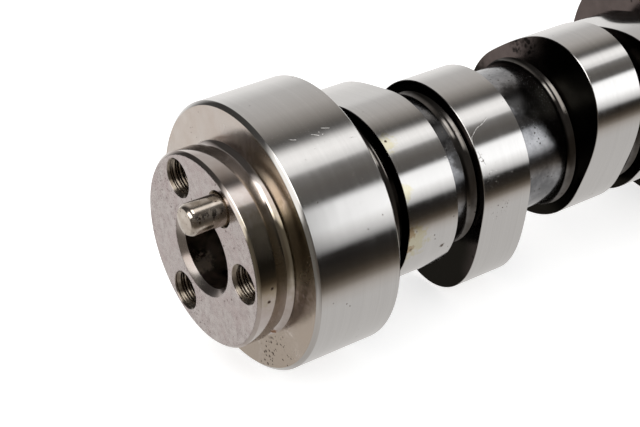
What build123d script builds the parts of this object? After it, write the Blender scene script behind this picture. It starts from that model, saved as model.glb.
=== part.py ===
from build123d import *
from math import cos, radians, sin, tan
import os

# Roller camshaft for an eight-cylinder engine with two banks set at ninety degrees.
# The origin is the middle of the nose's front face. +X runs along the axis to the rear, +Z is up.
# Angles round the axis are counted as seen from the front, from the viewer's right, upwards.

# engine that the shaft serves
BORE_PITCH = 111.76                          # from one cylinder to the next along a bank
BANK_ANGLE = 90
FIRING_ORDER = (1, 8, 7, 2, 6, 5, 4, 3)      # odd cylinders are in one bank, even ones in the other
FIRING_STEP = 45                             # the shaft turns half as far as the crankshaft
INTAKE_PHASE = 125.6                         # from a bank's line to its inlet nose at the first firing
LOBE_SEPARATION = 119                        # from the exhaust nose to the inlet nose of one cylinder

# shaft
CORE_R = 15.5
BORE_R = 8.1
BORE_CHAMFER = 1.25
JOURNAL_R = 27.5
JOURNAL_W = 19
THRUST_CHAMFER = 0.5                         # front edge of the front journal

# nose that carries the sprocket
NOSE_R = 19.9
NOSE_L = 8
NOSE_CHAMFER = 0.6
RELIEF_W = 3.4                               # relief groove in front of the thrust face
RELIEF_DEPTH = 1
RELIEF_BEVEL = 0.9
BOLT_CIRCLE_R = 14.7
BOLTS = 3
TAP_DRILL_R = 3.4
TAP_DEPTH = 18
TAP_COUNTERSINK = 0.7                        # how far the mouth is wider than the hole, all round
COUNTERSINK_ANGLE = 120
DOWEL_R = 3.175
DOWEL_SEAT = 12                              # length pressed into the nose
DOWEL_STANDOUT = 7.5
DOWEL_TIP = 0.9                              # taper of the free end
DOWEL_TIP_DROP = 0.45

# lobes
LOBE_W = 12.2
BASE_R = 18.8
LIFT = 8.4
ROLLER_R = 8.9                               # follower roller that the flanks are ground for
INTAKE_HALF = 72                             # turn of the shaft from the nose to the end of the lift
EXHAUST_HALF = 77
LIFT_POWER = 2.5
FLANK_ARCS = 3                               # arcs that make up each flank
FIRST_LOBE = 24.3                            # behind the middle of the journal in front
BANK_OFFSET = 18.9                           # from a lobe to its neighbour's in the other bank
PORT_SPACING = 45.5                          # between the two lobes of one cylinder
ROOT_RISE = 0.94                             # swell of the core where it meets a lobe
ROOT_RUN = (BANK_OFFSET - LOBE_W) / 2        # so that two neighbours' roots meet midway

BAYS = len(FIRING_ORDER) // 2
FIRST_JOURNAL = NOSE_L + JOURNAL_W / 2
LENGTH = NOSE_L + JOURNAL_W + BAYS * BORE_PITCH
MEETING = 0.01                               # gap under which two roots count as meeting


def across(x):
    """Plane across the shaft, seen from the front with +Z up."""
    return Plane(origin=(x, 0, 0), x_dir=(0, -1, 0), z_dir=(-1, 0, 0))


def journal_centres():
    return [FIRST_JOURNAL + n * BORE_PITCH for n in range(BAYS + 1)]


def intake_angle(cylinder):
    side = -1 if cylinder % 2 else 1
    bank_line = 90 + side * BANK_ANGLE / 2
    return bank_line + FIRING_STEP * FIRING_ORDER.index(cylinder) + INTAKE_PHASE


def lobes():
    """Middle, nose angle and half duration of every lobe, from front to rear."""
    result = []
    for bay, middle in enumerate(journal_centres()[:-1]):
        first = middle + FIRST_LOBE
        odd = 2 * bay + 1
        even = odd + 1
        exhaust_odd = intake_angle(odd) - LOBE_SEPARATION
        exhaust_even = intake_angle(even) - LOBE_SEPARATION
        result.append((first, intake_angle(odd), INTAKE_HALF))
        result.append((first + BANK_OFFSET, exhaust_even, EXHAUST_HALF))
        result.append((first + PORT_SPACING, exhaust_odd, EXHAUST_HALF))
        result.append((first + PORT_SPACING + BANK_OFFSET, intake_angle(even), INTAKE_HALF))
    return result


def flank_point(turn, half):
    """Point of the lobe that the roller touches when the shaft has turned so far from the nose."""
    share = turn / half
    rest = 1 - share ** 2
    lift = LIFT * rest ** LIFT_POWER
    slope = -2 * LIFT * LIFT_POWER * share * rest ** (LIFT_POWER - 1) / radians(half)
    reach = BASE_R + ROLLER_R + lift
    c = cos(radians(turn))
    s = sin(radians(turn))
    along = Vector(slope * c - reach * s, slope * s + reach * c).normalized()
    inward = Vector(-along.Y, along.X)
    return Vector(reach * c, reach * s) + inward * ROLLER_R


def lobe_face(half):
    """Outline of a lobe with its nose along local x: arcs through the flanks, and the base circle."""
    steps = 2 * FLANK_ARCS
    points = [flank_point(half * n / steps, half) for n in range(-steps, steps + 1)]
    flanks = [ThreePointArc(*points[n:n + 3]) for n in range(0, 2 * steps, 2)]
    base = ThreePointArc(points[-1], (-BASE_R, 0), points[0])
    return make_face(flanks + [base]) - Circle((BORE_R + CORE_R) / 2)


def lobe(middle, angle, half):
    face = across(middle + LOBE_W / 2) * Rot(0, 0, angle) * lobe_face(half)
    return extrude(face, amount=LOBE_W)


def nose_and_thrust_face():
    """Half section from the bore's mouth to the front journal's surface."""
    floor = NOSE_R - RELIEF_DEPTH
    return Polyline(
        (0, BORE_R + BORE_CHAMFER),
        (0, NOSE_R - NOSE_CHAMFER),
        (NOSE_CHAMFER, NOSE_R),
        (NOSE_L - RELIEF_W, NOSE_R),
        (NOSE_L - RELIEF_W, floor),
        (NOSE_L - RELIEF_BEVEL, floor),
        (NOSE_L, floor + RELIEF_BEVEL),
        (NOSE_L, JOURNAL_R - THRUST_CHAMFER),
        (NOSE_L + THRUST_CHAMFER, JOURNAL_R),
    )


def rear_face_and_bore():
    """Half section from the rear journal's surface round the rear face and forward along the bore."""
    return Polyline(
        (LENGTH, JOURNAL_R),
        (LENGTH, BORE_R),
        (BORE_CHAMFER, BORE_R),
        (0, BORE_R + BORE_CHAMFER),
    )


def bay(front, rear, middles):
    """Half section of the core between two journals, swelling at the sides of its lobes."""
    points = [(front, JOURNAL_R), (front, CORE_R)]
    for middle in middles:
        face = middle - LOBE_W / 2
        back = middle + LOBE_W / 2
        if face - ROOT_RUN > points[-1][0] + MEETING:
            points.append((face - ROOT_RUN, CORE_R))
        points += [(face, CORE_R + ROOT_RISE), (back, CORE_R + ROOT_RISE), (back + ROOT_RUN, CORE_R)]
    points += [(rear, CORE_R), (rear, JOURNAL_R)]
    return Polyline(*points)


def turned_shaft():
    """Nose, journals and core as one body of revolution with its bore."""
    outline = [nose_and_thrust_face()]
    surface = NOSE_L + THRUST_CHAMFER
    lobe_middles = [middle for middle, angle, half in lobes()]
    for centre in journal_centres()[:-1]:
        front = centre + JOURNAL_W / 2
        rear = front + BORE_PITCH - JOURNAL_W
        middles = [middle for middle in lobe_middles if front < middle < rear]
        outline.append(Line((surface, JOURNAL_R), (front, JOURNAL_R)))
        outline.append(bay(front, rear, middles))
        surface = rear
    outline.append(Line((surface, JOURNAL_R), (LENGTH, JOURNAL_R)))
    outline.append(rear_face_and_bore())
    return revolve(make_face(outline), axis=Axis.X)


def tapped_hole():
    """Cutter for a blind hole with a countersunk mouth at local z 0 and its floor below."""
    wall_top = -TAP_COUNTERSINK / tan(radians(COUNTERSINK_ANGLE / 2))
    section = Polyline(
        (0, 0),
        (TAP_DRILL_R + TAP_COUNTERSINK, 0),
        (TAP_DRILL_R, wall_top),
        (TAP_DRILL_R, -TAP_DEPTH),
        (0, -TAP_DEPTH),
        close=True,
    )
    return revolve(make_face(Plane.XZ * section), axis=Axis.Z)


def dowel_hole():
    return extrude(Circle(DOWEL_R), amount=-DOWEL_SEAT)


def on_bolt_circle(angle):
    return across(0) * Rot(0, 0, angle) * Pos(BOLT_CIRCLE_R, 0, 0)


def bolt_angles():
    return [n * 360 / BOLTS for n in range(BOLTS)]


def dowel_place():
    """The dowel stands midway between the first two bolt holes."""
    return on_bolt_circle(180 / BOLTS)


def camshaft():
    body = turned_shaft()
    body += [lobe(middle, angle, half) for middle, angle, half in lobes()]
    body -= [on_bolt_circle(angle) * tapped_hole() for angle in bolt_angles()]
    body -= dowel_place() * dowel_hole()
    return body


def dowel_pin():
    """Pin pressed into the nose down to the floor of its hole, with a tapered free end."""
    section = Polyline(
        (0, -DOWEL_SEAT),
        (DOWEL_R, -DOWEL_SEAT),
        (DOWEL_R, DOWEL_STANDOUT - DOWEL_TIP),
        (DOWEL_R - DOWEL_TIP_DROP, DOWEL_STANDOUT),
        (0, DOWEL_STANDOUT),
        close=True,
    )
    return dowel_place() * revolve(make_face(Plane.XZ * section), axis=Axis.Z)


def save(shape, name):
    shape.label = name
    export_step(shape, f"parts/{name}.step")


os.makedirs("parts", exist_ok=True)
save(camshaft(), "camshaft")
save(dowel_pin(), "dowel_pin")
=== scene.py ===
from math import atan2, cos, hypot, pi, radians, sin

import bmesh
import bpy
import numpy as np
from mathutils import Matrix, Vector


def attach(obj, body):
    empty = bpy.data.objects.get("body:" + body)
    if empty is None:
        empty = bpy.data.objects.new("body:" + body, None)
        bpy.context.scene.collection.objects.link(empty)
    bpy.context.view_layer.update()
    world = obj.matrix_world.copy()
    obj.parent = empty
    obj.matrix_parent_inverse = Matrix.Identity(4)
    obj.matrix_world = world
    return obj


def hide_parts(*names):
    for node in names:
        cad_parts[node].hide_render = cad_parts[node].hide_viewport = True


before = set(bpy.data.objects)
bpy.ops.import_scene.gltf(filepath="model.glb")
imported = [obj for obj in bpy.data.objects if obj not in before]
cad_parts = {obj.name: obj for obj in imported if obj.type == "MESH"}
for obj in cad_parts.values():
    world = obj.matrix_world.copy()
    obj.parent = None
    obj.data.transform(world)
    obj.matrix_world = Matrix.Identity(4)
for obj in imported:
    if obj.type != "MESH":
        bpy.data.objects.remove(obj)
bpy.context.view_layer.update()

MM = 0.001

# Nose and front bearing journal. One steel bar, turned: the nose has a bevelled rim and a
# relief groove in front of the thrust face, and the journal behind it is ground bright.
SEGMENTS = 160
BORE_R = 8.1
CORE_R = 15.5
FOOT_R = 16.44
ROOT_RADIUS = 2.6
ROOT_RUN = 2.0
ROOT_TURN = 50.3
ROOT_STEPS = 6
NOSE_R = 19.9
NOSE_L = 8.0
RELIEF_R = 18.86
JOURNAL_R = 27.5
BREAK_MIDDLE_R = 27.26
BREAK_FOOT_R = 27.14
JOURNAL_REAR = 27.0
OPEN_END = JOURNAL_REAR + ROOT_RUN


def start_turning(name, x, radius, segments=SEGMENTS):
    """Begins a turned piece with a ring across the shaft and leaves it open for stretching."""
    bpy.ops.object.select_all(action="DESELECT")
    bpy.ops.mesh.primitive_circle_add(
        vertices=segments, radius=radius * MM, location=(x * MM, 0, 0), rotation=(0, pi / 2, 0)
    )
    piece = bpy.context.active_object
    piece.name = name
    bpy.ops.object.transform_apply(location=True, rotation=True, scale=True)
    bpy.ops.object.mode_set(mode="EDIT")
    bpy.ops.mesh.select_all(action="SELECT")
    return piece


def turn_along(stations):
    """Stretches the live ring from station to station; each is a place along the shaft and a radius."""
    for (x0, r0), (x1, r1) in zip(stations, stations[1:]):
        bpy.ops.mesh.extrude_region_move(TRANSFORM_OT_translate={"value": ((x1 - x0) * MM, 0, 0)})
        if r1 != r0:
            scale = r1 / r0
            bpy.ops.transform.resize(value=(1, scale, scale), center_override=(x1 * MM, 0, 0))


def root_curve(side_face, outward):
    """Stations of the hollow radius between the core and a side face, from the core upwards."""
    stations = []
    for n in range(ROOT_STEPS + 1):
        turn = radians(ROOT_TURN) * n / ROOT_STEPS
        x = side_face + outward * (ROOT_RUN - ROOT_RADIUS * sin(turn))
        stations.append((x, CORE_R + ROOT_RADIUS * (1 - cos(turn))))
    return stations


def leave_edit():
    bpy.ops.object.mode_set(mode="OBJECT")


nose_stations = [
    (OPEN_END, BORE_R),
    (1.25, BORE_R),
    (0.05, 9.31),
    (0.0, 9.42),
    (0.0, 19.24),
    (0.06, 19.34),
    (0.56, 19.84),
    (0.66, NOSE_R),
    (4.56, NOSE_R),
    (4.66, NOSE_R - 0.1),
    (4.7, 18.95),
    (4.85, RELIEF_R),
    (6.95, RELIEF_R),
    (7.1, 18.92),
    (7.95, 19.75),
    (NOSE_L, 19.85),
    (NOSE_L, 26.72),
    (8.06, 26.82),
    (8.62, 27.42),
    (8.74, JOURNAL_R),
    (26.66, JOURNAL_R),
    (26.94, BREAK_MIDDLE_R),
    (JOURNAL_REAR, BREAK_FOOT_R),
]
nose_stations += root_curve(JOURNAL_REAR, 1)[::-1]
nose = start_turning("nose", *nose_stations[0])
turn_along(nose_stations)
# A ring of faces from the bore to the core closes the nose while its holes are cut.
bpy.ops.mesh.select_all(action="DESELECT")
bpy.ops.mesh.select_non_manifold()
bpy.ops.mesh.bridge_edge_loops()
bpy.ops.mesh.select_all(action="SELECT")
bpy.ops.mesh.normals_make_consistent(inside=False)
leave_edit()

# Tapped holes for the sprocket bolts and the hole for the dowel pin, cut into the nose.
# The taps leave an M8 thread of 1.25 mm pitch; every mouth is countersunk.
BOLT_CIRCLE_R = 14.7
BOLT_ANGLES = (0, 120, 240)
TAP_SEGMENTS = 32
TAP_MINOR_R = 3.4
TAP_MAJOR_R = 4.02
TAP_BLANK_R = 4.0
TAP_MOUTH_R = 4.8
PITCH = 1.25
ROWS_PER_PITCH = 16
THREADED = 11.25
THREAD_RUNOUT = 1.5
COUNTERSINK = 0.7
DRILLED = 18.0
DRILL_POINT = 2.0
TOOL_START = -0.5
PIN_ANGLE = 60
PIN_SEGMENTS = 64
DOWEL_R = 3.175
DOWEL_SEAT = 12.0
PIN_HOLE_R = DOWEL_R + 0.02
PIN_MOUTH_R = DOWEL_R + 1.05


def select_only(piece):
    """Selects one piece and makes it the active one."""
    bpy.ops.object.select_all(action="DESELECT")
    piece.select_set(True)
    bpy.context.view_layer.objects.active = piece


def on_bolt_circle(angle):
    """Place on the bolt circle for a tool or a pin that was made round the shaft's own axis."""
    return Matrix.Rotation(radians(-angle), 4, "X") @ Matrix.Translation((0, -BOLT_CIRCLE_R * MM, 0))


def bore_at(tool, angle):
    """Moves a tool that points along +X to its hole and cuts it out of the nose."""
    tool.data.transform(on_bolt_circle(angle))
    cut = nose.modifiers.new("cut", "BOOLEAN")
    cut.operation = "DIFFERENCE"
    cut.solver = "EXACT"
    cut.object = tool
    select_only(nose)
    bpy.ops.object.modifier_apply(modifier=cut.name)
    bpy.data.objects.remove(tool)


def close_ends(tool):
    """Caps the open ends of a tool and points its faces outwards."""
    bpy.ops.object.mode_set(mode="EDIT")
    bpy.ops.mesh.select_all(action="DESELECT")
    bpy.ops.mesh.select_non_manifold()
    bpy.ops.mesh.fill_holes(sides=0)
    bpy.ops.mesh.select_all(action="SELECT")
    bpy.ops.mesh.normals_make_consistent(inside=False)
    leave_edit()


def thread_radius(x, angle):
    """Radius that the tap leaves at a depth and an angle; the thread runs out at its end."""
    phase = (x / PITCH - angle / (2 * pi)) % 1
    depth = 0.5 + 0.5 * cos(2 * pi * (phase - 0.5))
    depth *= min(1.0, max(0.0, (THREADED - x) / THREAD_RUNOUT))
    return TAP_MINOR_R + (TAP_MAJOR_R - TAP_MINOR_R) * depth


def tap():
    """Tap-shaped tool: a countersink, a helical thread and the drilled hole below it."""
    step = PITCH / ROWS_PER_PITCH
    rows = int(THREADED / step)
    stations = [(TOOL_START, TAP_MOUTH_R)] + [(0.02 + n * step, TAP_BLANK_R) for n in range(rows)]
    thread_end = stations[-1][0]
    stations.append((thread_end + 0.3, TAP_MINOR_R))
    stations += [(DRILLED, TAP_MINOR_R), (DRILLED + DRILL_POINT, 0.05)]
    tool = start_turning("tap", *stations[0], TAP_SEGMENTS)
    turn_along(stations)
    leave_edit()
    for vertex in tool.data.vertices:
        x, y, z = vertex.co / MM
        if x < thread_end + 0.001:
            radius = TAP_MINOR_R + COUNTERSINK - x
            if x >= 0:
                radius = max(radius, thread_radius(x, atan2(z, -y)))
            scale = radius / hypot(y, z)
            vertex.co = Vector((x, y * scale, z * scale)) * MM
    close_ends(tool)
    return tool


for angle in BOLT_ANGLES:
    bore_at(tap(), angle)
drill_stations = [(TOOL_START, PIN_MOUTH_R), (0.55, PIN_HOLE_R), (DOWEL_SEAT, PIN_HOLE_R)]
pin_drill = start_turning("pin_drill", *drill_stations[0], PIN_SEGMENTS)
turn_along(drill_stations)
leave_edit()
close_ends(pin_drill)
bore_at(pin_drill, PIN_ANGLE)

# The ring of faces at the rear end comes off again.
select_only(nose)
corners = nose.data.vertices
end_cap = []
for face in nose.data.polygons:
    if all(abs(corners[v].co.x / MM - OPEN_END) < 0.001 for v in face.vertices):
        end_cap.append(face.index)
bpy.ops.object.mode_set(mode="EDIT")
bpy.ops.mesh.select_mode(type="FACE")
bpy.ops.mesh.select_all(action="DESELECT")
leave_edit()
for index in end_cap:
    nose.data.polygons[index].select = True
bpy.ops.object.mode_set(mode="EDIT")
bpy.ops.mesh.delete(type="ONLY_FACE")
bpy.ops.mesh.select_mode(type="VERT")
bpy.ops.mesh.select_all(action="SELECT")
bpy.ops.mesh.delete_loose()
leave_edit()

# Cam lobes, part of the same bar and ground to the path of a roller follower. Inlet and exhaust
# lobes differ in duration; each is modelled once and copied round the shaft by the firing order.
LOBE_W = 12.2
LOBE_BREAK = 0.1
BASE_R = 18.8
LIFT = 8.4
ROLLER_R = 8.9
LIFT_POWER = 2.5
INTAKE_HALF = 72
EXHAUST_HALF = 77
OUTLINE_POINTS = 1441
FIRING_ORDER = (1, 8, 7, 2, 6, 5, 4, 3)
FIRING_STEP = 45
BANK_ANGLE = 90
INTAKE_PHASE = 125.6
LOBE_SEPARATION = 119
BAYS = 4
BORE_PITCH = 111.76
FIRST_JOURNAL = 17.5
FIRST_LOBE = 24.3
BANK_OFFSET = 18.9
PORT_SPACING = 45.5


def lobe_outline(half):
    """Angle from the nose and radius of points along one lobe, under a rolling follower."""
    turn = np.radians(np.linspace(-180, 180, OUTLINE_POINTS))
    share = np.clip(np.abs(turn) / radians(half), 0, 1)
    rest = 1 - share ** 2
    lift = LIFT * rest ** LIFT_POWER
    slope = -2 * LIFT * LIFT_POWER * share * rest ** (LIFT_POWER - 1) / radians(half) * np.sign(turn)
    reach = BASE_R + ROLLER_R + lift
    along = np.array([
        slope * np.cos(turn) - reach * np.sin(turn),
        slope * np.sin(turn) + reach * np.cos(turn),
    ])
    along /= np.hypot(*along)
    x = reach * np.cos(turn) - ROLLER_R * along[1]
    y = reach * np.sin(turn) + ROLLER_R * along[0]
    return np.arctan2(y, x), np.hypot(x, y)


def shape_ring(piece, x, radius_at):
    """Adds a ring at a place along the shaft, with the radius that is wanted at each angle."""
    bpy.ops.mesh.extrude_region_move(TRANSFORM_OT_translate={"value": (0, 0, 0)})
    ring = bmesh.from_edit_mesh(piece.data)
    for vertex in [v for v in ring.verts if v.select]:
        angle = atan2(vertex.co.z, -vertex.co.y)
        radius = radius_at(angle) * MM
        vertex.co = (x * MM, -radius * cos(angle), radius * sin(angle))
    bmesh.update_edit_mesh(piece.data)


def lobe(name, half):
    """A lobe with its nose to the viewer's right, its side faces, edge breaks and root radii."""
    angles, radii = lobe_outline(half)
    front, back = -LOBE_W / 2, LOBE_W / 2
    up = root_curve(front, -1)
    piece = start_turning(name, *up[0])
    turn_along(up)
    rings = (
        (front, LOBE_BREAK),
        (front + LOBE_BREAK, 0),
        (back - LOBE_BREAK, 0),
        (back, LOBE_BREAK),
    )
    for x, inset in rings:
        shape_ring(piece, x, lambda angle: np.interp(angle, angles, radii) - inset)
    shape_ring(piece, back, lambda angle: FOOT_R)
    down = root_curve(back, 1)[::-1]
    turn_along([(back, FOOT_R)] + down[1:])
    leave_edit()
    return piece


def copy_to(pattern, x, angle):
    """A copy of a turned piece, with its own mesh, moved along the shaft and turned about it."""
    piece = pattern.copy()
    piece.data = pattern.data.copy()
    bpy.context.collection.objects.link(piece)
    piece.data.transform(Matrix.Translation((x * MM, 0, 0)) @ Matrix.Rotation(radians(-angle), 4, "X"))
    return piece


def intake_angle(cylinder):
    """Angle of a cylinder's inlet nose; odd cylinders are in one bank, even ones in the other."""
    side = -1 if cylinder % 2 else 1
    bank_line = 90 + side * BANK_ANGLE / 2
    return bank_line + FIRING_STEP * FIRING_ORDER.index(cylinder) + INTAKE_PHASE


intake = lobe("intake_lobe", INTAKE_HALF)
exhaust = lobe("exhaust_lobe", EXHAUST_HALF)
sections = [nose]
for bay in range(BAYS):
    first = FIRST_JOURNAL + bay * BORE_PITCH + FIRST_LOBE
    odd, even = 2 * bay + 1, 2 * bay + 2
    plan = (
        (intake, first, intake_angle(odd)),
        (exhaust, first + BANK_OFFSET, intake_angle(even) - LOBE_SEPARATION),
        (exhaust, first + PORT_SPACING, intake_angle(odd) - LOBE_SEPARATION),
        (intake, first + PORT_SPACING + BANK_OFFSET, intake_angle(even)),
    )
    for pattern, middle, angle in plan:
        sections.append(copy_to(pattern, middle, angle))
for pattern in (intake, exhaust):
    bpy.data.objects.remove(pattern)

# Bearing journals behind the front one, ground to the same size. The rear one ends in the
# plain rear face, through which the bore comes out.
LENGTH = 474.04
JOURNAL_HALF = 9.5
JOURNAL_EDGE = [(JOURNAL_HALF, BREAK_FOOT_R), (9.44, BREAK_MIDDLE_R), (9.16, JOURNAL_R)]
REAR_BORE = 25

front_side = root_curve(-JOURNAL_HALF, -1) + [(-x, radius) for x, radius in JOURNAL_EDGE]
rear_side = JOURNAL_EDGE[::-1] + root_curve(JOURNAL_HALF, 1)[::-1]
journal = start_turning("journal", *front_side[0])
turn_along(front_side + rear_side)
leave_edit()
for n in range(1, BAYS):
    sections.append(copy_to(journal, FIRST_JOURNAL + n * BORE_PITCH, 0))
bpy.data.objects.remove(journal)
last = FIRST_JOURNAL + BAYS * BORE_PITCH
rear_stations = [(last + x, radius) for x, radius in front_side]
rear_stations += [
    (LENGTH - 0.5, JOURNAL_R),
    (LENGTH - 0.06, 27.06),
    (LENGTH, 26.95),
    (LENGTH, 9.0),
    (LENGTH - 0.06, 8.9),
    (LENGTH - 0.9, BORE_R),
    (LENGTH - REAR_BORE, BORE_R),
]
rear = start_turning("rear_journal", *rear_stations[0])
turn_along(rear_stations)
leave_edit()
sections.append(rear)

# The sections joined to one bar: the open rings of neighbours are bridged by the round core,
# and the bore is bridged from the nose to the rear journal.
SMOOTH_UNDER = radians(24)

bpy.ops.object.select_all(action="DESELECT")
for section in sections:
    section.select_set(True)
bpy.context.view_layer.objects.active = nose
bpy.ops.object.join()
shaft = nose
shaft.name = "camshaft_bar"
bpy.ops.object.mode_set(mode="EDIT")
bpy.ops.mesh.select_mode(type="VERT")
bar = bmesh.from_edit_mesh(shaft.data)
open_rings = {}
for edge in bar.edges:
    if edge.is_boundary:
        middle = (edge.verts[0].co + edge.verts[1].co) / 2
        in_bore = hypot(middle.y, middle.z) < (BORE_R + CORE_R) / 2 * MM
        open_rings.setdefault((in_bore, round(middle.x / MM, 2)), []).append(edge.index)
core_rings = sorted(ring for ring in open_rings if not ring[0])
bore_rings = sorted(ring for ring in open_rings if ring[0])
pairs = list(zip(core_rings[::2], core_rings[1::2])) + [(bore_rings[0], bore_rings[-1])]
for first_ring, second_ring in pairs:
    bpy.ops.mesh.select_all(action="DESELECT")
    bar = bmesh.from_edit_mesh(shaft.data)
    bar.edges.ensure_lookup_table()
    for index in open_rings[first_ring] + open_rings[second_ring]:
        bar.edges[index].select_set(True)
    bmesh.update_edit_mesh(shaft.data)
    bpy.ops.mesh.bridge_edge_loops()
bpy.ops.mesh.select_all(action="SELECT")
bpy.ops.mesh.remove_doubles(threshold=0.000001)
bpy.ops.mesh.normals_make_consistent(inside=False)
leave_edit()
select_only(shaft)
bpy.ops.object.shade_smooth_by_angle(angle=SMOOTH_UNDER)

# Finish of the bar. The journals and lobes are ground bright, the nose and its faces are turned
# and stained, and the core and the lobes' sides keep a black heat-treatment skin with oil on it.
RINGS_SPREAD = 0.85
BLACK_TINT = 0.6
ROOT_TINT = 0.75


def material_nodes(name):
    """A new material with its node tree and its surface shader."""
    material = bpy.data.materials.new(name)
    material.use_nodes = True
    return material, material.node_tree, material.node_tree.nodes["Principled BSDF"]


def add_node(tree, kind, settings=None, **inputs):
    """Adds a node; inputs are values or the output sockets that feed them, by name or number."""
    made = tree.nodes.new(kind)
    for key, value in (settings or {}).items():
        setattr(made, key, value)
    for key, value in inputs.items():
        socket = made.inputs[int(key[1:])] if key[0] == "_" else made.inputs[key.replace("_", " ")]
        if isinstance(value, bpy.types.NodeSocket):
            tree.links.new(value, socket)
        else:
            socket.default_value = value
    return made


def object_place(tree):
    return add_node(tree, "ShaderNodeTexCoord").outputs["Object"]


def math_node(tree, operation, a, b=0.0, c=0.0):
    return add_node(tree, "ShaderNodeMath", {"operation": operation}, _0=a, _1=b, _2=c).outputs[0]


def vector_math(tree, operation, first, second):
    """Works on two vectors, or on one and a scale; gives a vector, or the number if it is one."""
    second_input = "_3" if operation == "SCALE" else "_1"
    inputs = {"_0": first, second_input: second}
    made = add_node(tree, "ShaderNodeVectorMath", {"operation": operation}, **inputs)
    return made.outputs["Value" if operation in ("DOT_PRODUCT", "DISTANCE") else "Vector"]


def fade(tree, value, low, high, start=0.0, end=1.0):
    """Smooth step of a value between two limits."""
    return add_node(
        tree, "ShaderNodeMapRange", {"interpolation_type": "SMOOTHSTEP"},
        _0=value, _1=low, _2=high, _3=start, _4=end,
    ).outputs[0]


def blend_colour(tree, share, first, second):
    return add_node(tree, "ShaderNodeMix", {"data_type": "RGBA"}, _0=share, _6=first, _7=second).outputs[2]


def stain_colour(tree, colour, mask, strength, stain):
    """Lays a stain over a colour where its mask is."""
    return blend_colour(tree, math_node(tree, "MULTIPLY", mask, strength), colour, stain)


def noise(tree, place, scale, detail=2.0, roughness=0.5):
    return add_node(
        tree, "ShaderNodeTexNoise", Vector=place, Scale=scale, Detail=detail, Roughness=roughness
    ).outputs[0]


def new_group(name, inputs, outputs):
    """A shader node group with named float or vector inputs and float outputs."""
    group = bpy.data.node_groups.new(name, "ShaderNodeTree")
    for label, default in inputs:
        kind = "NodeSocketFloat" if isinstance(default, float) else "NodeSocketVector"
        socket = group.interface.new_socket(label, in_out="INPUT", socket_type=kind)
        if kind == "NodeSocketFloat":
            socket.default_value = default
    for label in outputs:
        group.interface.new_socket(label, in_out="OUTPUT", socket_type="NodeSocketFloat")
    return group, group.nodes.new("NodeGroupInput").outputs, group.nodes.new("NodeGroupOutput").inputs


def use_group(tree, group, **inputs):
    """Places a group in a material and gives the one mask that it puts out."""
    return add_node(tree, "ShaderNodeGroup", {"node_tree": group}, **inputs).outputs[0]


# Fine lines left by the grinding wheel, running round the shaft and broken along their length.
grinding, given, result = new_group(
    "grinding_lines", (("Place", Vector()), ("Lines per mm", 3.0)), ("Lines",)
)
lines_across = math_node(grinding, "MULTIPLY", given["Lines per mm"], 1000.0)
line_scale = add_node(grinding, "ShaderNodeCombineXYZ", X=lines_across, Y=22.0, Z=22.0).outputs[0]
line_place = vector_math(grinding, "MULTIPLY", given["Place"], line_scale)
coarse_lines = noise(grinding, line_place, 0.35, 4.0, 0.7)
fine_lines = noise(grinding, line_place, 1.7, 2.0, 0.6)
coarse_share = math_node(grinding, "MULTIPLY", coarse_lines, 0.6)
grinding.links.new(math_node(grinding, "MULTIPLY_ADD", fine_lines, 0.4, coarse_share), result["Lines"])

# Specks and small pits scattered over a surface: torn in outline, of mixed size, and in patches.
pitting, given, result = new_group(
    "pits", (("Place", Vector()), ("Per metre", 900.0), ("Size", 0.25), ("Share", 0.1)), ("Mask",)
)
stir = add_node(pitting, "ShaderNodeTexNoise", Vector=given["Place"], Scale=2600.0, Detail=2.0)
shift = vector_math(pitting, "SCALE", stir.outputs["Color"], 0.00035)
stirred = vector_math(pitting, "ADD", given["Place"], shift)
cells = add_node(pitting, "ShaderNodeTexVoronoi", Vector=stirred, Scale=given["Per metre"], Randomness=1.0)
lots = add_node(pitting, "ShaderNodeSeparateColor", Color=cells.outputs["Color"])
patches = noise(pitting, given["Place"], 90.0, 3.0)
share_here = math_node(pitting, "MULTIPLY", given["Share"], fade(pitting, patches, 0.38, 0.68, 0.1, 2.4))
chosen = math_node(pitting, "LESS_THAN", lots.outputs[0], share_here)
own_size = math_node(pitting, "MULTIPLY", given["Size"], fade(pitting, lots.outputs[1], 0.0, 1.0, 0.35, 1.3))
inner_size = math_node(pitting, "MULTIPLY", own_size, 0.45)
torn_pit = fade(pitting, cells.outputs["Distance"], inner_size, own_size, 1.0, 0.0)
pitting.links.new(math_node(pitting, "MULTIPLY", chosen, torn_pit), result["Mask"])

# One fine scratch: everything near the straight line between two places.
scratching, given, result = new_group(
    "scratch", (("Place", Vector()), ("From mm", Vector()), ("To mm", Vector()), ("Width mm", 0.1)), ("Mask",)
)
in_mm = vector_math(scratching, "SCALE", given["Place"], 1000.0)
off_start = vector_math(scratching, "SUBTRACT", in_mm, given["From mm"])
whole = vector_math(scratching, "SUBTRACT", given["To mm"], given["From mm"])
passed = vector_math(scratching, "DOT_PRODUCT", off_start, whole)
squared = vector_math(scratching, "DOT_PRODUCT", whole, whole)
along_it = add_node(
    scratching, "ShaderNodeMath", {"operation": "DIVIDE", "use_clamp": True}, _0=passed, _1=squared
).outputs[0]
nearest = vector_math(scratching, "SCALE", whole, along_it)
off_line = vector_math(scratching, "DISTANCE", off_start, nearest)
widths_off = math_node(scratching, "DIVIDE", off_line, given["Width mm"])
thin = fade(scratching, widths_off, 0.2, 1.0, 1.0, 0.0)
broken = fade(scratching, noise(scratching, given["Place"], 1800.0, 2.0), 0.35, 0.5, 0.25, 1.0)
scratching.links.new(math_node(scratching, "MULTIPLY", thin, broken), result["Mask"])

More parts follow.
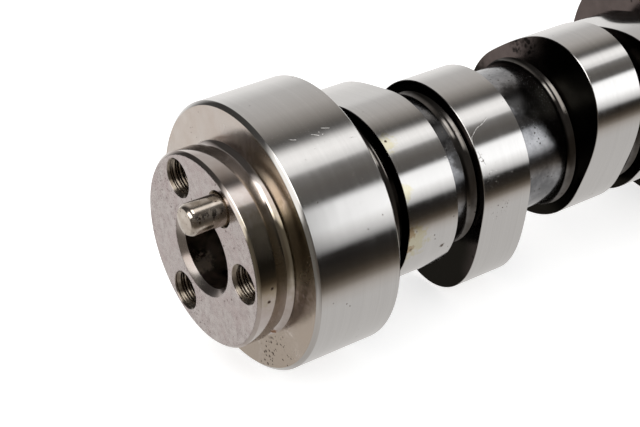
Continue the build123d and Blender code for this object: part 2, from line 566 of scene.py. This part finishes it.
# One soft-edged mark at a place on the surface.
marking, given, result = new_group(
    "mark", (("Place", Vector()), ("Centre mm", Vector()), ("Radius mm", 1.0), ("Raggedness", 0.4)), ("Mask",)
)
in_mm = vector_math(marking, "SCALE", given["Place"], 1000.0)
reach = vector_math(marking, "DISTANCE", in_mm, given["Centre mm"])
ragged = math_node(marking, "SUBTRACT", noise(marking, given["Place"], 900.0, 3.0, 0.6), 0.5)
share_out = math_node(marking, "DIVIDE", reach, given["Radius mm"])
tear = math_node(marking, "MULTIPLY", given["Raggedness"], 3.0)
torn = math_node(marking, "MULTIPLY_ADD", ragged, tear, share_out)
marking.links.new(fade(marking, torn, 0.4, 1.0, 1.0, 0.0), result["Mask"])


def scattered(tree, place, per_metre, size, share):
    """Specks or pits: how closely they may lie, how large they are and how many are there."""
    return use_group(tree, pitting, Place=place, Per_metre=per_metre, Size=size, Share=share)


def all_of(tree, masks):
    """Lays masks over each other."""
    total = masks[0]
    for mask in masks[1:]:
        total = math_node(tree, "MAXIMUM", total, mask)
    return total


def scratches(tree, place, width, paths):
    """Scratches of one width; each path is a row of places in mm."""
    return all_of(tree, [
        use_group(tree, scratching, Place=place, From_mm=start, To_mm=end, Width_mm=width)
        for path in paths
        for start, end in zip(path, path[1:])
    ])


def marks(tree, place, spots):
    """Marks; each spot is a centre in mm, a radius in mm and how ragged it is."""
    return all_of(tree, [
        use_group(tree, marking, Place=place, Centre_mm=centre, Radius_mm=radius, Raggedness=raggedness)
        for centre, radius, raggedness in spots
    ])


def finish_steel(tree, shader, colour, gloss, height, strength, depth):
    """Gives the steel its colour and roughness, and bumps it by a height, to a depth in metres."""
    tree.links.new(colour, shader.inputs["Base Color"])
    tree.links.new(gloss, shader.inputs["Roughness"])
    bump = add_node(tree, "ShaderNodeBump", Strength=strength, Distance=depth, Height=height)
    tree.links.new(bump.outputs[0], shader.inputs["Normal"])
    shader.inputs["Metallic"].default_value = 1.0


# Ground steel of the journals and lobes: bright, with faint brown oil, pits and a few scratches.
ground, tree, shader = material_nodes("ground_steel")
place = object_place(tree)
lines = use_group(tree, grinding, Place=place, Lines_per_mm=3.0)
colour = blend_colour(tree, fade(tree, lines, 0.3, 0.7), (0.6, 0.59, 0.58, 1), (0.64, 0.63, 0.62, 1))
oil_and_dark_reflection_spots = (((36.6, -10.4, 15.8), 2.6, 0.6), ((35.9, -16.9, 8.2), 2.2, 0.6), ((36.4, -18.7, -2.4), 5.0, 0.6))
oil_and_dark_reflection = marks(tree, place, oil_and_dark_reflection_spots)
colour = stain_colour(tree, colour, oil_and_dark_reflection, 0.7, (0.58, 0.54, 0.36, 1))
rust = marks(tree, place, (((35.9, -18.7, -0.4), 1.7, 0.8), ((36.0, -18.3, -4.0), 1.3, 0.8)))
colour = stain_colour(tree, colour, rust, 0.6, (0.34, 0.22, 0.12, 1))
pit_spots = (
    ((44.9, -17.6, -6.5), 0.75, 0.5), ((36.7, -9.7, 16.1), 0.42, 0.6), ((40.5, -13.0, 12.6), 0.3, 0.6),
    ((36.4, -18.6, -4.3), 0.5, 0.8), ((37.6, -18.5, -6.3), 0.35, 0.8), ((42.4, -18.2, -3.8), 0.3, 0.8),
)
rash_spots = (((56.9, -18.2, 4.4), 2.2, 0.5), ((55.3, -16.6, 9.1), 1.0, 0.6), ((58.8, -18.7, -2.6), 2.6, 0.5))
rash_here = marks(tree, place, rash_spots)
rash = math_node(tree, "MULTIPLY", rash_here, scattered(tree, place, 2600.0, 0.42, 0.32))
pits_here = math_node(tree, "MAXIMUM", marks(tree, place, pit_spots), rash)
dark = math_node(tree, "MAXIMUM", scattered(tree, place, 1300.0, 0.2, 0.022), pits_here)
colour = blend_colour(tree, dark, colour, (0.09, 0.06, 0.04, 1))
paths = (
    ((13.0, -11.7, 24.9), (14.3, -12.2, 24.6)),
    ((17.8, -12.2, 24.7), (19.0, -12.8, 24.3)),
    ((20.4, -11.6, 24.9), (21.8, -12.1, 24.7)),
    ((24.4, -15.0, 23.1), (25.7, -15.1, 23.0)),
    ((60.3, -11.8, 14.6), (58.8, -12.4, 14.1), (57.0, -12.8, 13.8), (55.0, -13.8, 12.8), (54.2, -15.0, 11.3)),
    ((55.0, -15.7, 10.4), (55.9, -17.1, 7.8)),
)
bright_spots = (
    ((57.0, -17.5, 6.7), 2.6, 0.5), ((48.0, -15.4, 11.1), 2.6, 0.5), ((61.8, -13.4, 13.2), 1.2, 0.5),
    ((18.0, -12.3, 24.6), 4.0, 0.6),
)
bright_here = marks(tree, place, bright_spots)
bright_specks = math_node(tree, "MULTIPLY", bright_here, scattered(tree, place, 1600.0, 0.26, 0.3))
scores = math_node(tree, "MAXIMUM", scratches(tree, place, 0.13, paths), bright_specks)
colour = stain_colour(tree, colour, scores, 0.5, (0.9, 0.89, 0.87, 1))
smear = fade(tree, noise(tree, place, 55.0, 3.0, 0.6), 0.35, 0.65, 0.85, 1.25)
gloss = math_node(tree, "MULTIPLY", fade(tree, lines, 0.25, 0.75, 0.075, 0.125), smear)
gloss = math_node(tree, "MULTIPLY_ADD", math_node(tree, "MAXIMUM", scores, dark), 0.28, gloss)
cuts = math_node(tree, "ADD", dark, scores)
relief = math_node(tree, "SUBTRACT", math_node(tree, "MULTIPLY", lines, 0.05), cuts)
finish_steel(tree, shader, colour, gloss, relief, 0.3, 0.00002)

# Turned steel of the nose's rim and the relief groove, with a thin brown film. The chamfer of
# the bore is rougher.
turned, tree, shader = material_nodes("turned_steel")
place = object_place(tree)
lines = use_group(tree, grinding, Place=place, Lines_per_mm=2.0)
film = noise(tree, place, 130.0, 4.0, 0.6)
colour = blend_colour(tree, fade(tree, film, 0.3, 0.7), (0.5, 0.43, 0.4, 1), (0.6, 0.555, 0.53, 1))
# Brown oil film on the rim, partly painted dark reflection where the rim mirrors the dark part of the studio
# towards the viewer.
oily_and_dark_reflection = marks(tree, place, (((4.0, -18.6, 6.5), 12.5, 0.25),))
colour = stain_colour(tree, colour, oily_and_dark_reflection, 0.8, (0.4, 0.35, 0.25, 1))
dots = marks(tree, place, (((2.34, -19.8, -2.0), 0.5, 0.5), ((3.03, -19.9, 0.7), 0.4, 0.5)))
dark = math_node(tree, "MAXIMUM", scattered(tree, place, 1500.0, 0.22, 0.03), dots)
colour = blend_colour(tree, dark, colour, (0.1, 0.065, 0.05, 1))
rust = marks(tree, place, (((7.6, -12.7, -14.9), 1.1, 0.8),))
colour = blend_colour(tree, rust, colour, (0.3, 0.14, 0.06, 1))
dulled = math_node(tree, "MAXIMUM", dark, rust)
gloss = math_node(tree, "MULTIPLY_ADD", dulled, 0.35, fade(tree, film, 0.25, 0.75, 0.045, 0.075))
bore_mouth = marks(tree, place, (((0.6, 0.0, 0.0), 20.0, 0.0),))
gloss = math_node(tree, "MULTIPLY_ADD", bore_mouth, 0.13, gloss)
relief = math_node(tree, "SUBTRACT", math_node(tree, "MULTIPLY", lines, 0.1), dark)
finish_steel(tree, shader, colour, gloss, relief, 0.3, 0.00002)

# The thrust face is turned too, but duller, and its fine rings spread what it mirrors into a
# fan. Its foot is stained brown, its right side has a brown oil film that is partly painted dark
# reflection, and dark specks gather low down.
dull, tree, shader = material_nodes("dull_turned_steel")
place = object_place(tree)
film = noise(tree, place, 110.0, 4.0, 0.6)
colour = blend_colour(tree, fade(tree, film, 0.3, 0.7), (0.58, 0.51, 0.46, 1), (0.69, 0.635, 0.595, 1))
foot_spots = (
    ((8.0, -14.0, -20.0), 14.0, 0.3), ((8.0, -1.0, -25.0), 12.0, 0.3), ((8.0, -24.0, -10.0), 12.0, 0.3),
)
foot = marks(tree, place, foot_spots)
colour = stain_colour(tree, colour, foot, 0.8, (0.4, 0.335, 0.27, 1))
# Brown oil film on the right side, partly painted dark reflection where the turned rings mirror dark
# surroundings.
oily_and_dark_reflection = marks(tree, place, (((8.0, -21.0, 8.0), 14.0, 0.3), ((8.0, -12.0, 19.0), 10.0, 0.3)))
colour = stain_colour(tree, colour, oily_and_dark_reflection, 0.85, (0.31, 0.265, 0.195, 1))
rash_spots = (
    ((8.0, -11.6, -20.4), 1.5, 0.8), ((8.0, -16.8, -17.6), 1.3, 0.8), ((8.0, -19.5, -17.7), 1.2, 0.8),
    ((8.0, -9.6, -21.0), 1.2, 0.8), ((8.0, -14.6, -20.6), 1.4, 0.8), ((8.0, -12.5, -21.5), 7.0, 0.8),
)
rash_here = marks(tree, place, rash_spots)
rash = math_node(tree, "MULTIPLY", rash_here, scattered(tree, place, 1500.0, 0.5, 0.42))
dark = math_node(tree, "MAXIMUM", scattered(tree, place, 1500.0, 0.22, 0.05), rash)
colour = blend_colour(tree, dark, colour, (0.1, 0.065, 0.05, 1))
gloss = math_node(tree, "MULTIPLY_ADD", dark, 0.2, fade(tree, film, 0.25, 0.75, 0.21, 0.28))
rings = add_node(tree, "ShaderNodeTangent", {"direction_type": "RADIAL", "axis": "X"})
tree.links.new(rings.outputs[0], shader.inputs["Tangent"])
shader.inputs["Anisotropic"].default_value = RINGS_SPREAD
finish_steel(tree, shader, colour, gloss, math_node(tree, "SUBTRACT", 1.0, dark), 0.3, 0.00002)

# The nose's front face has a satin, finely etched skin full of specks.
satin, tree, shader = material_nodes("satin_steel")
place = object_place(tree)
mottle = noise(tree, place, 620.0, 5.0, 0.7)
clouds = noise(tree, place, 190.0, 3.0, 0.55)
colour = blend_colour(tree, fade(tree, mottle, 0.32, 0.68), (0.4, 0.352, 0.346, 1), (0.6, 0.556, 0.545, 1))
colour = blend_colour(tree, fade(tree, clouds, 0.4, 0.7, 0.0, 0.45), colour, (0.44, 0.35, 0.35, 1))
fine = math_node(tree, "MULTIPLY", scattered(tree, place, 2600.0, 0.5, 0.2), 0.6)
specks = math_node(tree, "MAXIMUM", fine, scattered(tree, place, 1100.0, 0.3, 0.05))
colour = blend_colour(tree, specks, colour, (0.12, 0.08, 0.07, 1))
gloss = fade(tree, mottle, 0.25, 0.75, 0.2, 0.34)
relief = math_node(tree, "SUBTRACT", math_node(tree, "MULTIPLY", mottle, 0.5), specks)
finish_steel(tree, shader, colour, gloss, relief, 0.35, 0.00006)

# Sides of the lobes and journals: a black heat-treatment skin, worn to grey-brown in places
# and chipped on the third lobe.
black, tree, shader = material_nodes("oiled_black_steel")
place = object_place(tree)
film = noise(tree, place, 160.0, 5.0, 0.6)
worn = marks(tree, place, (((81.2, 9.5, 19.0), 13.5, 0.15), ((119.8, 8.0, 12.0), 34.0, 0.05)))
worn_at_random = fade(tree, noise(tree, place, 22.0, 2.0), 0.6, 0.72, 0.0, 0.7)
worn = math_node(tree, "MAXIMUM", worn, worn_at_random)
colour = blend_colour(tree, worn, (0.009, 0.008, 0.006, 1), (0.15, 0.122, 0.116, 1))
colour = blend_colour(tree, fade(tree, film, 0.3, 0.75, 0.35, 0.0), colour, (0.012, 0.011, 0.009, 1))
chip_spots = (((81.2, -0.3, 20.4), 3.2, 0.5), ((81.2, 3.6, 18.8), 2.2, 0.5))
chipped = math_node(tree, "MULTIPLY", marks(tree, place, chip_spots), scattered(tree, place, 800.0, 0.9, 2.5))
chips = math_node(tree, "MAXIMUM", scattered(tree, place, 1100.0, 0.4, 0.07), chipped)
colour = blend_colour(tree, chips, colour, (0.012, 0.01, 0.009, 1))
gloss = fade(tree, film, 0.3, 0.7, 0.14, 0.24)
finish_steel(tree, shader, colour, gloss, math_node(tree, "SUBTRACT", film, chips), 0.15, 0.00005)
shader.inputs["Specular Tint"].default_value = (BLACK_TINT, BLACK_TINT, BLACK_TINT, 1)

# The core between the lobes is turned, left dark and wet with oil; its near-black spots are oil and partly
# painted dark reflection.
core, tree, shader = material_nodes("oiled_core_steel")
place = object_place(tree)
film = noise(tree, place, 120.0, 5.0, 0.65)
colour = blend_colour(tree, fade(tree, film, 0.35, 0.65), (0.15, 0.152, 0.16, 1), (0.36, 0.362, 0.375, 1))
# Near-black spots: oil, and painted dark reflection where the core would mirror the bright lights.
oil_and_dark_reflection_spots = (((72.5, -7.5, 13.5), 6.0, 0.25), ((51.0, -8.7, 12.9), 4.5, 0.3), ((52.6, -13.3, 8.0), 2.8, 0.3))
oil_and_dark_reflection = marks(tree, place, oil_and_dark_reflection_spots)
colour = stain_colour(tree, colour, oil_and_dark_reflection, 0.9, (0.03, 0.029, 0.028, 1))
specks = scattered(tree, place, 1700.0, 0.4, 0.12)
colour = blend_colour(tree, specks, colour, (0.08, 0.075, 0.07, 1))
gloss = fade(tree, film, 0.3, 0.7, 0.12, 0.2)
finish_steel(tree, shader, colour, gloss, math_node(tree, "SUBTRACT", 1.0, specks), 0.2, 0.00004)

# The hollow roots at the lobes and journals are smoother, and darker with oil.
root, tree, shader = material_nodes("oiled_root_steel")
place = object_place(tree)
film = noise(tree, place, 150.0, 4.0, 0.6)
colour = blend_colour(tree, fade(tree, film, 0.35, 0.7), (0.1, 0.093, 0.086, 1), (0.18, 0.172, 0.166, 1))
specks = scattered(tree, place, 1700.0, 0.35, 0.08)
colour = blend_colour(tree, specks, colour, (0.05, 0.045, 0.04, 1))
gloss = fade(tree, film, 0.3, 0.7, 0.08, 0.13)
finish_steel(tree, shader, colour, gloss, math_node(tree, "SUBTRACT", 1.0, specks), 0.2, 0.00003)
shader.inputs["Specular Tint"].default_value = (ROOT_TINT, ROOT_TINT, ROOT_TINT, 1)

# Inside the bore: dark drilled steel with old oil, and near the mouth one painted reflection, a bright brown
# patch of light.
grime, tree, shader = material_nodes("bore_grime")
place = object_place(tree)
dirt = noise(tree, place, 300.0, 5.0, 0.65)
colour = blend_colour(tree, fade(tree, dirt, 0.35, 0.7), (0.16, 0.12, 0.095, 1), (0.34, 0.27, 0.22, 1))
# Painted reflection: a bright brown patch of light on the far wall, near the mouth.
painted_reflection = marks(tree, place, (((1.9, 4.9, -6.4), 2.2, 0.7), ((3.2, 5.2, -6.2), 2.6, 0.8)))
colour = stain_colour(tree, colour, painted_reflection, 0.8, (0.85, 0.74, 0.64, 1))
finish_steel(tree, shader, colour, fade(tree, dirt, 0.3, 0.7, 0.25, 0.45), dirt, 0.4, 0.0001)

# The tapped threads are cleaner than the bore and shine brown.
threads, tree, shader = material_nodes("thread_steel")
place = object_place(tree)
dirt = noise(tree, place, 500.0, 4.0, 0.6)
colour = blend_colour(tree, fade(tree, dirt, 0.35, 0.7), (0.2, 0.165, 0.13, 1), (0.44, 0.39, 0.33, 1))
finish_steel(tree, shader, colour, fade(tree, dirt, 0.3, 0.7, 0.14, 0.24), dirt, 0.2, 0.00005)

# Each face of the bar gets its finish from its place and its normal. The limits lie a little
# outside the edges of the surfaces; HOLE_REACH is how far a hole's faces are from its axis.
BORE_SKIN_R = 8.2
BORE_START = 1.2
HOLE_START = 0.1
HOLE_END = 20.1
HOLE_REACH = 4.05
MOUTH_END = 0.8
FRONT_SKIN = 0.03
THRUST_SKIN = 0.02
REAR_EDGE = 0.6
GROUND_R = 27.35
LOBE_SKIN_R = 17.8
FLAT = 0.99
OUTWARDS = 0.5
SLOPED = 0.05
holes = [
    (-BOLT_CIRCLE_R * cos(radians(angle)), BOLT_CIRCLE_R * sin(radians(angle)))
    for angle in (*BOLT_ANGLES, PIN_ANGLE)
]
finishes = (ground, turned, dull, satin, black, core, root, grime, threads)
for finish in finishes:
    shaft.data.materials.append(finish)


def finish_of(face):
    """Picks the finish of a face by its place and the way it looks."""
    x, y, z = face.center / MM
    radius = hypot(y, z)
    along, across = abs(face.normal.x), (face.normal.y * y + face.normal.z * z) / radius
    from_hole = min(hypot(y - hole_y, z - hole_z) for hole_y, hole_z in holes)
    if radius < BORE_SKIN_R and x > BORE_START:
        return grime
    if HOLE_START < x < HOLE_END and from_hole < HOLE_REACH:
        return threads
    if x < FRONT_SKIN:
        return satin
    if abs(x - NOSE_L) < THRUST_SKIN and along > FLAT:
        return dull
    if x < NOSE_L + THRUST_SKIN or x > LENGTH - REAR_EDGE:
        return turned
    if radius > GROUND_R or (across > OUTWARDS and radius > LOBE_SKIN_R):
        return ground
    if radius < FOOT_R:
        return root if along > SLOPED else core
    return black


for face in shaft.data.polygons:
    face.material_index = finishes.index(finish_of(face))
# The threads are shaded smooth below the countersink.
thread_number = finishes.index(threads)
inside_thread = set()
for face in shaft.data.polygons:
    if face.material_index == thread_number and face.center.x > MOUTH_END * MM:
        inside_thread.update(face.edge_keys)
for edge in shaft.data.edges:
    if edge.key in inside_thread:
        edge.use_edge_sharp = False
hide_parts("camshaft")
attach(shaft, "root")

# Dowel pin: a hardened, burnished pin pressed into the nose between two of the tapped holes,
# with a tapered free end. It sets the sprocket's timing.
DOWEL_STANDOUT = 7.5
FREE_END = -DOWEL_STANDOUT
CENTRE_R = 0.4

pin_stations = [
    (FREE_END, CENTRE_R),
    (FREE_END, 2.5),
    (FREE_END + 0.05, 2.62),
    (FREE_END + 0.35, 2.86),
    (FREE_END + 0.8, 3.09),
    (FREE_END + 1.2, DOWEL_R),
    (DOWEL_SEAT - 0.6, DOWEL_R),
    (DOWEL_SEAT, 2.6),
    (DOWEL_SEAT, CENTRE_R),
]
pin = start_turning("dowel", *pin_stations[0], PIN_SEGMENTS)
turn_along(pin_stations)
leave_edit()
close_ends(pin)
pin.data.transform(on_bolt_circle(PIN_ANGLE))
select_only(pin)
bpy.ops.object.shade_smooth_by_angle(angle=SMOOTH_UNDER)

burnished, tree, shader = material_nodes("burnished_pin")
place = object_place(tree)
film = noise(tree, place, 350.0, 4.0, 0.6)
colour = blend_colour(tree, fade(tree, film, 0.3, 0.7), (0.42, 0.36, 0.3, 1), (0.62, 0.56, 0.5, 1))
worn_spots = (
    ((-6.0, -10.5, 13.4), 1.5, 0.6), ((-4.0, -10.5, 13.2), 1.6, 0.6), ((-2.0, -10.5, 13.2), 1.6, 0.6),
    ((-5.6, -10.1, 14.4), 0.7, 0.6), ((-3.4, -10.1, 14.3), 0.7, 0.6), ((-1.6, -10.1, 14.3), 0.7, 0.6),
    ((-5.0, -7.7, 15.8), 1.2, 0.7), ((-1.4, -7.9, 15.8), 1.4, 0.7),
)
worn = marks(tree, place, worn_spots)
colour = stain_colour(tree, colour, worn, 0.5, (0.26, 0.2, 0.14, 1))
burrs = math_node(tree, "MULTIPLY", worn, scattered(tree, place, 1700.0, 0.6, 0.6))
fine = math_node(tree, "MULTIPLY", scattered(tree, place, 2000.0, 0.5, 0.26), 0.9)
specks = math_node(tree, "MAXIMUM", fine, burrs)
colour = blend_colour(tree, specks, colour, (0.06, 0.035, 0.02, 1))
gloss = math_node(tree, "MULTIPLY_ADD", worn, 0.26, fade(tree, film, 0.25, 0.75, 0.07, 0.14))
finish_steel(tree, shader, colour, gloss, math_node(tree, "SUBTRACT", film, specks), 0.3, 0.00003)
pin.data.materials.append(burnished)
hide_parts("dowel_pin")
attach(pin, "root")

# Photo table: a pale floor under the journals. Mirror-like steel doesn't see it but the studio
# round it, and to the camera it is close to white with the shaft's soft shadow.
TABLE_SIZE = 6.0
PAPER_WHITE = 0.9
PAPER_GLOW = 0.6

bpy.ops.object.select_all(action="DESELECT")
bpy.ops.mesh.primitive_plane_add(size=TABLE_SIZE, location=(0, 0, -JOURNAL_R * MM))
floor = bpy.context.active_object
floor.name = "floor"
paper, tree, shader = material_nodes("pale_paper")
shader.inputs["Base Color"].default_value = (PAPER_WHITE, PAPER_WHITE, PAPER_WHITE, 1)
shader.inputs["Roughness"].default_value = 0.9
shader.inputs["Emission Color"].default_value = (1, 1, 1, 1)
light_path = add_node(tree, "ShaderNodeLightPath")
shown = math_node(tree, "MULTIPLY", light_path.outputs["Is Camera Ray"], PAPER_GLOW)
tree.links.new(shown, shader.inputs["Emission Strength"])
clear = add_node(tree, "ShaderNodeBsdfTransparent").outputs[0]
mirrored = light_path.outputs["Is Glossy Ray"]
seen = add_node(tree, "ShaderNodeMixShader", _0=mirrored, _1=shader.outputs[0], _2=clear)
tree.links.new(seen.outputs[0], tree.nodes["Material Output"].inputs["Surface"])
floor.data.materials.append(paper)

# Studio: white to the eye, and to all but mirror-like steel a plain soft light from all round.
# What the steel mirrors goes by how far a ray points to the rear and by its angle round the
# shaft: 0 degrees is level towards the viewer, 90 straight up and 180 level behind the shaft.
TURN = 360
AT_ZERO = 0.5
ROUND_SHAFT = (
    (-180, 0.97, 0.03), (-155, 0.92, 0.04), (-140, 0.72, 0.05), (-122, 0.66, 0.05), (-52, 0.66, 0.05),
    (-43, 0.6, 0.1), (-38, 0.48, 0.16), (-33, 0.24, 0.28), (-27, 0.09, 0.4), (-20, 0.035, 0.35),
    (-10, 0.018, 0.2), (2, 0.014, 0.2), (18, 0.03, 0.2), (37, 0.07, 0.12), (43, 0.128, 0.1),
    (52, 0.152, 0.14), (61, 0.22, 0.08), (64.5, 0.34, 0.04), (67.5, 0.98, 0.02), (77, 1.38, 0.02),
    (84, 1.28, 0.02), (88, 0.85, 0.03), (92, 0.3, 0.04), (96, 0.13, 0.08), (101, 0.17, 0.15),
    (112, 0.37, 0.13), (125, 0.56, 0.09), (140, 0.63, 0.06), (155, 0.67, 0.04), (167, 0.83, 0.03),
    (180, 0.97, 0.03),
)
BIG_BOX = (
    (-180, 0, 0), (-3, 0, 0), (1.5, 0.5, 0), (5, 0.75, 0), (12, 1.08, 0), (18, 1.36, -0.02),
    (30, 1.27, -0.02), (34.5, 1.22, -0.02), (40, 0.0, 0), (180, 0, 0),
)
IN_FRONT = (
    (-180, 0.12, 0.04), (-170, 0.35, 0.05), (-158, 0.82, 0.05), (-150, 0.92, 0.05), (-138, 0.75, 0.07),
    (-110, 0.5, 0.1), (-60, 0.56, 0.1), (-46, 0.42, 0.12), (-36, 0.22, 0.2), (-24, 0.11, 0.3),
    (-10, 0.1, 0.3), (10, 0.12, 0.2), (40, 0.14, 0.1), (90, 0.14, 0.1), (110, 0.08, 0.1),
    (160, 0.055, 0.1), (172, 0.07, 0.08), (180, 0.12, 0.04),
)
BOX_SLANT = 22
FAN_MIDDLE = 76
FAN_HALF = 15
FAN_WIDENS = 42
FAN_SOFT = 13
FAN_LEVEL = 1.6
FAN_WEAKENS = -0.45
OVERHEAD_LEVEL = 2.8
OUTER_LEVEL = 2.2
LAMP_WHITE = (1.0, 0.98, 0.95)
DARK_ROOM = (0.085, 0.079, 0.07, 1)
PLAIN_LIGHT = 0.9


def lay_strips(tree, share, strips):
    """Colour ramp round the shaft; a strip is an angle in degrees, a level and its warmth."""
    ramp = add_node(tree, "ShaderNodeValToRGB", Fac=share)
    stops = ramp.color_ramp.elements
    for n, (angle, level, warmth) in enumerate(strips):
        at_end = n in (0, len(strips) - 1)
        stop = stops[-1 if n else 0] if at_end else stops.new(angle / TURN + AT_ZERO)
        half = level / 2
        stop.color = (half, half * (1 - warmth * 0.5), half * (1 - warmth), 1)
    return ramp.outputs["Color"]


def change(tree, value, low, high, start=0.0, end=1.0):
    """Straight change of a value between two limits."""
    return add_node(tree, "ShaderNodeMapRange", _0=value, _1=low, _2=high, _3=start, _4=end).outputs[0]


def window(tree, value, low, high, soft):
    """One between two limits and nothing outside them, with soft edges."""
    above = fade(tree, value, low - soft, low + soft)
    below = fade(tree, value, high - soft, high + soft, 1.0, 0.0)
    return math_node(tree, "MULTIPLY", above, below)


world = bpy.data.worlds.new("studio")
bpy.context.scene.world = world
world.use_nodes = True
tree = world.node_tree
direction = add_node(tree, "ShaderNodeTexCoord").outputs["Generated"]
to_rear, to_back, upwards = add_node(tree, "ShaderNodeSeparateXYZ", Vector=direction).outputs
turn = math_node(tree, "ARCTAN2", upwards, math_node(tree, "MULTIPLY", to_back, -1.0))
share = math_node(tree, "MULTIPLY_ADD", turn, 0.5 / pi, AT_ZERO)

# The big box beside the shaft ends level with the nose, and its lower side drops to the rear.
low_side = fade(tree, share, 0.51, 0.58, 1.0, 0.0)
slant = math_node(tree, "MULTIPLY", fade(tree, to_rear, 0.52, 0.8, 0.0, BOX_SLANT / TURN), low_side)
box_strips = lay_strips(tree, math_node(tree, "ADD", share, slant), BIG_BOX)
box_level = change(tree, to_rear, 0.5, 0.7, 1.13, 1.28)
box_level = math_node(tree, "MULTIPLY", fade(tree, to_rear, 0.472, 0.489), box_level)

# A fan-shaped light above in front, which the turned faces mirror. It gets wider and weaker
# the further forward it lies.
ahead = math_node(tree, "MAXIMUM", math_node(tree, "MULTIPLY", to_rear, -1.0), 0.0)
widening = math_node(tree, "POWER", ahead, 4.0)
fan_half = math_node(tree, "MULTIPLY_ADD", widening, FAN_WIDENS / TURN, FAN_HALF / TURN)
off_middle = math_node(tree, "ABSOLUTE", math_node(tree, "SUBTRACT", share, AT_ZERO + FAN_MIDDLE / TURN))
to_edge = math_node(tree, "SUBTRACT", fan_half, off_middle)
in_fan = fade(tree, to_edge, -FAN_SOFT / TURN, FAN_SOFT / TURN)
level_there = math_node(tree, "MULTIPLY_ADD", ahead, FAN_WEAKENS, FAN_LEVEL)
fan_level = math_node(tree, "MULTIPLY", in_fan, level_there)
fan_level = math_node(tree, "MULTIPLY", fan_level, fade(tree, to_rear, -0.6, -0.42, 1.0, 0.0))

# Two narrow lights that only the hollow roots mirror: one overhead, one further out in front.
overhead = math_node(
    tree, "MULTIPLY",
    window(tree, to_rear, -0.19, 0.2, 0.06),
    window(tree, share, AT_ZERO + 62 / TURN, AT_ZERO + 90 / TURN, 0.011),
)
outer = math_node(
    tree, "MULTIPLY",
    window(tree, to_rear, -0.76, -0.48, 0.05),
    window(tree, share, AT_ZERO + 43 / TURN, AT_ZERO + 92 / TURN, 0.016),
)
outer_level = math_node(tree, "MULTIPLY", outer, OUTER_LEVEL)
narrow_level = math_node(tree, "MULTIPLY_ADD", overhead, OVERHEAD_LEVEL, outer_level)
lamps = vector_math(tree, "SCALE", LAMP_WHITE, math_node(tree, "ADD", fan_level, narrow_level))

# The ring of soft boxes and dark card round the shaft, a darker ring in front of the nose, and
# the dark room behind the camera. A ramp holds its levels at half, so they are doubled here.
forward = change(tree, to_rear, 0.12, -0.22)
strips = blend_colour(tree, forward, lay_strips(tree, share, ROUND_SHAFT), lay_strips(tree, share, IN_FRONT))
behind_camera = fade(tree, to_rear, -0.88, -0.74, 1.0, 0.0)
strips = blend_colour(tree, behind_camera, strips, DARK_ROOM)
strips = vector_math(tree, "ADD", strips, vector_math(tree, "SCALE", box_strips, box_level))
glow = vector_math(tree, "ADD", vector_math(tree, "SCALE", strips, 2.0), lamps)
light_path = add_node(tree, "ShaderNodeLightPath")
mirrored = light_path.outputs["Is Glossy Ray"]
to_eye = light_path.outputs["Is Camera Ray"]
plain = math_node(tree, "MULTIPLY_ADD", to_eye, 1 - PLAIN_LIGHT, PLAIN_LIGHT)
backdrop = tree.nodes["Background"]
tree.links.new(blend_colour(tree, mirrored, (1, 1, 1, 1), glow), backdrop.inputs["Color"])
strength = add_node(tree, "ShaderNodeMix", {"data_type": "FLOAT"}, _0=mirrored, _2=plain, _3=1.0)
tree.links.new(strength.outputs[0], backdrop.inputs["Strength"])
world.cycles.sampling_method = "NONE"

# Camera: where the photographer stood, looking down on the nose from the front left.
CAMERA_PLACE = Vector((-0.137425, -0.239183, 0.170113))
CAMERA_RIGHT = Vector((0.81675, -0.57672, -0.01783))
CAMERA_UP = Vector((0.30584, 0.40651, 0.86093))
CAMERA_BACK = Vector((-0.48927, -0.70862, 0.5084))
FOCAL_LENGTH = 95.06

lens = bpy.data.cameras.new("camera")
lens.sensor_width = 36.0
lens.lens = FOCAL_LENGTH
camera = bpy.data.objects.new("camera", lens)
bpy.context.collection.objects.link(camera)
camera_frame = Matrix((CAMERA_RIGHT, CAMERA_UP, CAMERA_BACK)).transposed()
camera.matrix_world = Matrix.Translation(CAMERA_PLACE) @ camera_frame.to_4x4()
bpy.context.scene.camera = camera
bpy.context.scene.view_settings.view_transform = "Standard"
